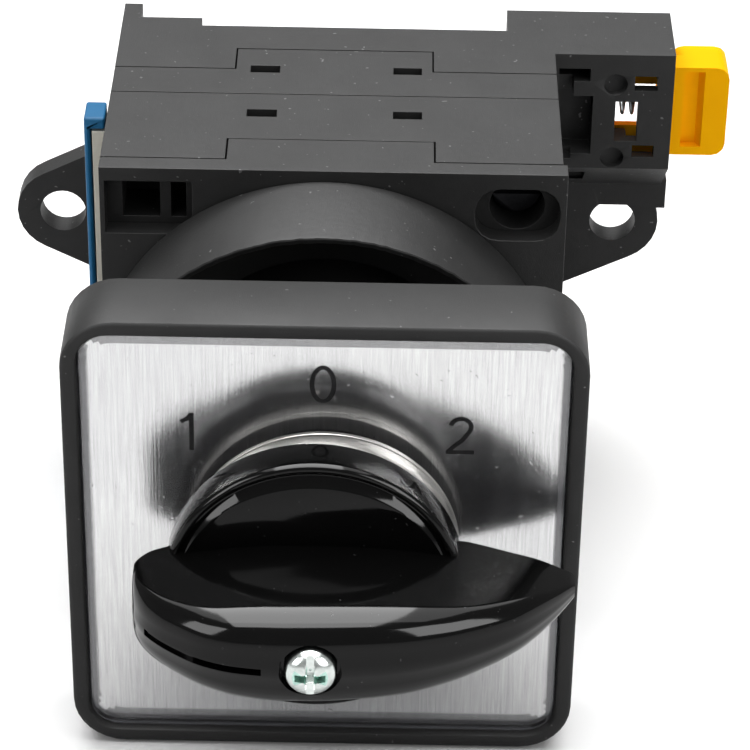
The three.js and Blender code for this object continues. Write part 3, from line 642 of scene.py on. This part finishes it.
def make_digits():
    """The three positions of the knob, 45 degrees apart, printed on the legend plate."""
    front = extent("legend_plate")[2] - INK_PROUD
    places = {"1": (-12.51, 11.7), "0": (0.04, 17.15), "2": (12.82, 11.76)}
    for digit, (x, z) in places.items():
        vertices, faces = [], []
        for layer, (centreline, closed) in enumerate(digit_strips(digit, DIGIT_HEIGHT, DIGIT_STROKE)):
            left, right = stroke(centreline, DIGIT_STROKE, closed)
            face = front - INK_LAYER_STEP * layer
            more, quads = ink_strip(left, right, closed, x, z, face, INK_THICKNESS)
            start = len(vertices)
            vertices += more
            faces += [tuple(start + i for i in quad) for quad in quads]
        piece = add_mesh(f"legend_digit_{digit}", vertices, faces, INK, "housing")


# ---- Knob ----

KNOB_X = -0.5
KNOB_FACE = -7.1
SKIRT_RADIUS = 13.8
KNOB_TAIL = -17.0
KNOB_TIP = 23.6
SOCKET_HALF = 3.1
SLOT_HALF = 0.36
GRIP_FRONT = [
    (-17.0, -10.9), (-16.7, -12.1), (-15.6, -14.1), (-13.0, -16.6), (-10.0, -18.5), (-7.0, -19.4),
    (-3.0, -19.78), (0.0, -19.72), (4.0, -19.35), (8.0, -18.68), (12.0, -17.35), (15.0, -15.8),
    (18.0, -13.75), (20.0, -11.8), (22.0, -9.3), (23.6, -6.9),
]
GRIP_BACK = [
    (-17.0, -7.5), (-15.6, -6.3), (-13.6, -5.6), (-12.6, -5.0), (12.2, -4.6), (13.2, -4.3), (18.0, -4.7),
    (23.6, -5.0),
]
GRIP_HALF = [
    (-17.0, 2.85), (-16.7, 3.15), (-15.8, 3.4), (-13.0, 3.8), (-10.0, 4.25), (-7.0, 4.7), (-4.0, 4.93),
    (0.0, 4.98), (4.0, 4.87), (8.0, 4.6), (12.0, 4.04), (15.0, 3.45), (18.0, 2.8), (20.0, 2.3),
    (22.0, 1.5), (23.2, 0.95), (23.6, 0.65),
]


def grip_section(x, corner_steps=8):
    """One cross-section of the grip: flat at the back, with wide round front edges."""
    half = smooth_curve(GRIP_HALF, x)
    front = smooth_curve(GRIP_FRONT, x)
    back = smooth_curve(GRIP_BACK, x)
    radius = min(3.8, half * 0.74, abs(back - front) * 0.6)
    crown = 0.07 * half
    quarter = []
    for i in range(corner_steps + 1):
        angle = math.pi / 2 * i / corner_steps
        z = half - radius + radius * math.cos(angle)
        quarter.append((front + radius - radius * math.sin(angle) + crown * math.sin(angle) ** 4, z))
    middle = [(front + crown * share ** 2, (half - radius) * share) for share in (0.5, 0, -0.5)]
    ring = quarter + middle + [(y, -z) for y, z in reversed(quarter)]
    ring += [(back, half * share) for share in (-1, -1 / 3, 1 / 3, 1)]
    return [point(x, y, z) for y, z in ring]


def make_knob():
    stations = []
    x = KNOB_TAIL
    while x < KNOB_TIP - 0.01:
        stations.append(x)
        near = min(x - KNOB_TAIL, KNOB_TIP - x)
        x += 0.1 if near < 0.8 else 0.3 if near < 3 else 0.7
    stations.append(KNOB_TIP)
    grip = add_mesh(
        "knob_shell", *bridge_rings([grip_section(s) for s in stations]), KNOB, "rotor", ["knob"],
        "knob_plastic",
    )
    join_with(grip, [tool_mesh(*bridge_rings(skirt_rings()))])
    socket = tool_box(-SOCKET_HALF, SOCKET_HALF, -14.8, 1.0, -SOCKET_HALF, SOCKET_HALF)
    bore = tool_mesh(*lathe([(0, -19.0), (1.9, -19.0), (1.9, -10.0), (0, -10.0)], 32, KNOB_X))
    well_profile = [(0, -23.0), (2.95, -23.0), (2.82, -19.8), (2.75, -18.5), (0, -18.5)]
    well = tool_mesh(*lathe(well_profile, 64, KNOB_X))
    cut_with(grip, [groove_tool(), socket, bore, well])
    finish_cut(grip, [KNOB], 32)
    return grip


def skirt_rings():
    """The boss, the flange with its rounded rim, the groove in its face and the flat face.
    The groove is wider above and below than at the sides."""
    r = SKIRT_RADIUS
    face = KNOB_FACE
    ovals = [
        (9.0, 9.0, -0.4), (9.0, 9.0, -3.2), (r - 0.4, r - 0.4, -3.2), (r - 0.12, r - 0.12, -3.28),
        (r, r, -3.6), (r - 0.02, r - 0.02, face + 0.55), (r - 0.1, r - 0.1, face + 0.26),
        (r - 0.27, r - 0.27, face + 0.07), (r - 0.45, r - 0.48, face), (r - 0.55, r - 0.75, face + 0.05),
        (r - 0.66, r - 1.1, face + 0.5), (r - 0.76, r - 1.35, face + 0.68),
        (r - 0.85, r - 1.5, face + 0.66),
        (r - 1.15, r - 2.3, face + 0.1), (r - 1.25, r - 2.5, face),
    ]
    return [oval_ring(a, b, d, 144, KNOB_X) for a, b, d in ovals]


def groove_tool():
    """A slot along the front edge of the tail, square in section, with a shallower left half."""
    rings = []
    steps = 28
    for i in range(steps + 1):
        x = -15.7 + (15.7 - 4.9) * i / steps
        front = smooth_curve(GRIP_FRONT, x)
        floor = front + (0.45 if x < -11.0 else 1.0)
        rings.append([
            point(x, front - 2.0, -SLOT_HALF), point(x, front - 2.0, SLOT_HALF),
            point(x, floor, SLOT_HALF), point(x, floor, -SLOT_HALF),
        ])
    return tool_mesh(*bridge_rings(rings))


def finish_cut(piece, materials, angle):
    """Sets the materials and the shading of a piece that was cut."""
    piece.data.materials.clear()
    for material in materials:
        piece.data.materials.append(material)
    for polygon in piece.data.polygons:
        polygon.material_index = 0
    piece.data.shade_smooth()
    piece.data.set_sharp_from_angle(angle=math.radians(angle))


def make_knob_screw():
    radius, x, top, _ = extent("knob_screw")
    seat = top + 2.0
    profile = [
        (0, -8.6), (1.0, -8.6), (1.3, -9.0), (1.3, seat), (radius - 0.1, seat), (radius, seat - 0.12),
        (radius, seat - 0.75), (radius - 0.1, seat - 1.1), (radius - 0.35, seat - 1.45),
        (radius - 0.8, seat - 1.75), (radius - 1.5, top + 0.06), (0, top),
    ]
    screw = add_mesh("knob_screw_head", *lathe(profile, 72, x), ZINC, "rotor", ["knob_screw"], "zinc")
    tools = [tool_box(x - 0.36, x + 0.36, top - 1, top + 0.75, -radius - 1, radius + 1)]
    for turn, reach in ((0, 1.75), (1, 1.45), (2, 1.75), (3, 1.45)):
        tools.append(cross_arm(x, math.pi / 2 * turn, 0.42, reach, top - 0.5, top + 1.5))
    centre_pit = [(0, top - 0.6), (0.75, top - 0.6), (0.6, top + 1.1), (0, top + 1.6)]
    tools.append(tool_mesh(*lathe(centre_pit, 24, x)))
    cut_with(screw, tools)
    finish_cut(screw, [ZINC, ZINC_RECESS], 35)
    for polygon in screw.data.polygons:
        centre = polygon.center
        across = abs(centre.x - x * MM)
        inward = 0.3 * MM < across < 1.7 * MM and abs(centre.z) < 0.6 * MM
        sunk = depth(top + 0.12) < centre.y < depth(seat)
        polygon.material_index = 1 if inward and sunk else 0
    return screw


def cross_arm(x, angle, half_width, reach, d0, d1):
    """A tapering arm of a cross recess, from the screw's axis outwards."""
    rings = []
    for d, scale in ((d0, 1.0), (d1, 0.4)):
        width = half_width * (0.6 + 0.4 * scale)
        ring = []
        for u, v in ((0, -width), (reach * scale, -width), (reach * scale, width), (0, width)):
            across = u * math.cos(angle) - v * math.sin(angle)
            upward = u * math.sin(angle) + v * math.cos(angle)
            ring.append(point(x + across, d, upward))
        rings.append(ring)
    return tool_mesh(*bridge_rings(rings))


# ---- Ring, neck and springs ----

COIL_TURNS = 4


def make_ring():
    """The ring behind the front plate. Its thin front lip is slightly uneven, as moulded edges are."""
    r, x, front, rear = extent("panel_ring")
    segments = 240
    lip = [
        (r - 0.8, front + 0.35), (r - 0.45, front + 0.06), (r - 0.2, front), (r - 0.05, front + 0.06),
        (r, front + 0.3),
    ]
    bore = 5.0
    hub_inside = 10.6
    hub_outside = 15.2
    floor = rear - 1.6
    rest = [
        (r, rear - 0.1), (r - 0.1, rear), (bore, rear), (bore, floor), (hub_inside, floor),
        (hub_inside, front + 2.5), (10.8, front + 2.3), (15.0, front + 2.3),
        (hub_outside, front + 2.5), (hub_outside, floor), (r - 1.5, floor),
    ]
    vertices, faces = lathe(lip + rest, segments, x)
    chance = random.Random(7)
    for i in range(segments):
        dent = chance.choice((0.0, 0.0, 0.03, 0.05, 0.12)) * MM
        for k in range(len(lip)):
            vx, vy, vz = vertices[k * segments + i]
            vertices[k * segments + i] = (vx, vy + dent, vz)
    return add_mesh("ring_shell", vertices, faces, HOUSING, "housing", ["panel_ring"], "housing_plastic")


def make_neck():
    profile = [
        (4.6, 3.9), (12.4, 3.9), (12.6, 4.1), (12.6, 5.5), (12.4, 5.7), (10.2, 5.7), (10.0, 5.9),
        (10.0, 23.8), (9.8, 24.0), (4.6, 24.0),
    ]
    return add_mesh(
        "neck_tube", *lathe(profile, 96), HOUSING, "housing", ["bearing_neck"], "housing_plastic"
    )


def coil_path(start, end, radius, turns, steps=22):
    """A helix of given radius between two points, with flat end turns."""
    a, b = Vector(start), Vector(end)
    along = (b - a).normalized()
    side = along.orthogonal().normalized()
    other = along.cross(side)
    path = []
    count = int(turns * steps)
    for i in range(count + 1):
        t = i / count
        angle = 2 * math.pi * turns * t
        path.append(a + (b - a) * t + side * radius * math.cos(angle) + other * radius * math.sin(angle))
    return path


def make_coils():
    """Fine coil springs in the place of the plain ones. In the switch each is held by the housing at one
    end and pushed by a sliding body at the other; here each is a fixed helix drawn through the box of its
    CAD spring."""
    springs = []
    for half, up in (("top", True), ("bottom", False)):
        for s in STAGES:
            springs.append((f"contact_spring_{s}_{half}", f"contact_carrier_{s}_{half}", 2, up, 0.3))
        springs.append((f"detent_spring_{half}", f"detent_slider_{half}", 2, up, 0.3))
    springs.append(("latch_spring", "rail_latch", 0, True, 0.22))
    for node, slider, axis, fixed_above, wire in springs:
        low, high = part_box(node)
        start, end = (low + high) / 2, (low + high) / 2
        start[axis] = low[axis] + wire * MM
        end[axis] = high[axis] - wire * MM
        across = (axis + 1) % 3
        radius = (high[across] - low[across]) / 2 - wire * MM
        vertices, faces = tube_along(coil_path(start, end, radius, COIL_TURNS), wire * MM * 0.95)
        piece = add_mesh(f"{node}_wire", vertices, faces, STEEL, None, angle=60)
        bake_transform(piece)
        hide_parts(node)


# ---- CAD nodes that keep their shape ----

def dress_cad(node, material, bevel=0.15):
    """Gives a CAD node its material and softened edges."""
    piece = NODES[node]
    piece.data.materials.clear()
    piece.data.materials.append(material)
    for polygon in piece.data.polygons:
        polygon.material_index = 0
    piece.data.shade_smooth()
    piece.data.set_sharp_from_angle(angle=math.radians(28))
    weld = piece.modifiers.new("Weld", "WELD")
    weld.merge_threshold = 0.000002
    add_bevel(piece, bevel)
    normals = piece.modifiers.new("Normals", "WEIGHTED_NORMAL")
    normals.keep_sharp = True


def dress_frame():
    for node in ("detent_housing", "wafer_housing_1", "wafer_housing_2", "rail_base"):
        dress_cad(node, HOUSING, 0.12)
    dress_cad("rail_latch", YELLOW, 0.35)
    dress_cad("marker_strip", BLUE, 0.3)
    dress_cad("marker_backing", CREAM, 0.1)
    dress_cad("shaft", STEEL, 0.2)
    dress_cad("detent_wheel", NYLON, 0.15)
    for stage in STAGES:
        dress_cad(f"cam_{stage}", NYLON, 0.15)
        for half in HALVES:
            dress_cad(f"plunger_{stage}_{half}", NYLON, 0.1)
            dress_cad(f"contact_bridge_{stage}_{half}", COPPER, 0.08)
            for side in ("left", "right"):
                dress_cad(f"fixed_contact_{stage}_{half}_{side}", BRASS, 0.08)
                dress_cad(f"terminal_screw_{stage}_{half}_{side}", ZINC, 0.12)
    for half in HALVES:
        dress_cad(f"detent_roller_{half}", STEEL, 0.1)
        dress_cad(f"detent_carrier_{half}", NYLON, 0.1)
        dress_cad(f"tie_bolt_{half}", BLACK_STEEL, 0.12)


# ---- Stage, light and camera ----

def make_floor():
    size = 3.0
    z = FLOOR_Z - 0.0002
    mesh = bpy.data.meshes.new("studio_floor")
    corners = [(-size, -size, z), (size, -size, z), (size, size, z), (-size, size, z)]
    mesh.from_pydata(corners, [], [(0, 1, 2, 3)])
    mesh.materials.append(floor_material())
    floor = bpy.data.objects.new("studio_floor", mesh)
    bpy.context.scene.collection.objects.link(floor)


def add_light(name, place, target, width, height, power, glossy_only=False):
    data = bpy.data.lights.new(name, "AREA")
    data.shape = "RECTANGLE"
    data.size = width
    data.size_y = height
    data.energy = power
    light = bpy.data.objects.new(name, data)
    light.location = place
    aim = Vector(target) - Vector(place)
    light.rotation_euler = aim.to_track_quat("-Z", "Y").to_euler()
    light.visible_diffuse = not glossy_only
    bpy.context.scene.collection.objects.link(light)


def make_lights():
    """A wide soft box overhead and an even surround do the lighting. The three reflection boxes
    are seen in reflections only, sharp on gloss and faint on dull plastic. They throw no diffuse
    light."""
    world = bpy.data.worlds.new("studio")
    world.use_nodes = True
    background = world.node_tree.nodes["Background"]
    background.inputs["Color"].default_value = (1, 1, 1, 1)
    background.inputs["Strength"].default_value = 0.40
    bpy.context.scene.world = world
    target = (0.0, -0.01, 0.0)
    add_light("overhead_box", (0.0, 0.16, 0.75), target, 1.0, 1.0, 12.0)
    add_light("overhead_reflection", (-0.06, 0.02, 0.62), (-0.06, 0.02, 0.0), 0.48, 0.96, 20.0, True)
    add_light("left_reflection", (-0.42, -0.35, 0.25), target, 0.26, 0.30, 2.6, True)
    add_light("right_reflection", (0.385, -0.385, 0.26), target, 0.36, 0.32, 4.2, True)


CAMERA_PLACE = (5.09, -250.31, 181.54)
CAMERA_PITCH = math.radians(32.978)
CAMERA_YAW = math.radians(-0.0693)
CAMERA_ROLL = math.radians(1.0005)
CAMERA_LENS = 157.48
CAMERA_SENSOR = 36


def make_camera():
    """The camera stands in front of the switch and above it, and leans very slightly."""
    level_share = math.cos(CAMERA_PITCH)
    sine, cosine = math.sin(CAMERA_YAW), math.cos(CAMERA_YAW)
    forward = Vector((level_share * sine, level_share * cosine, -math.sin(CAMERA_PITCH)))
    level = Vector((cosine, -sine, 0))
    up = level.cross(forward)
    right = level * math.cos(CAMERA_ROLL) + up * math.sin(CAMERA_ROLL)
    lifted = right.cross(forward)
    data = bpy.data.cameras.new("camera")
    data.sensor_width = CAMERA_SENSOR
    data.lens = CAMERA_LENS
    data.clip_start = 0.01
    camera = bpy.data.objects.new("camera", data)
    rotation = Matrix((right, lifted, -forward)).transposed()
    camera.matrix_world = Matrix.Translation(point(*CAMERA_PLACE)) @ rotation.to_4x4()
    bpy.context.scene.collection.objects.link(camera)
    bpy.context.scene.camera = camera


make_camera()
make_lights()
make_floor()
make_bezel()
make_plate()
make_cover()
make_collar()
make_digits()
make_knob()
make_knob_screw()
make_ring()
make_neck()
make_coils()
dress_frame()
bpy.context.scene.view_settings.view_transform = "Standard"
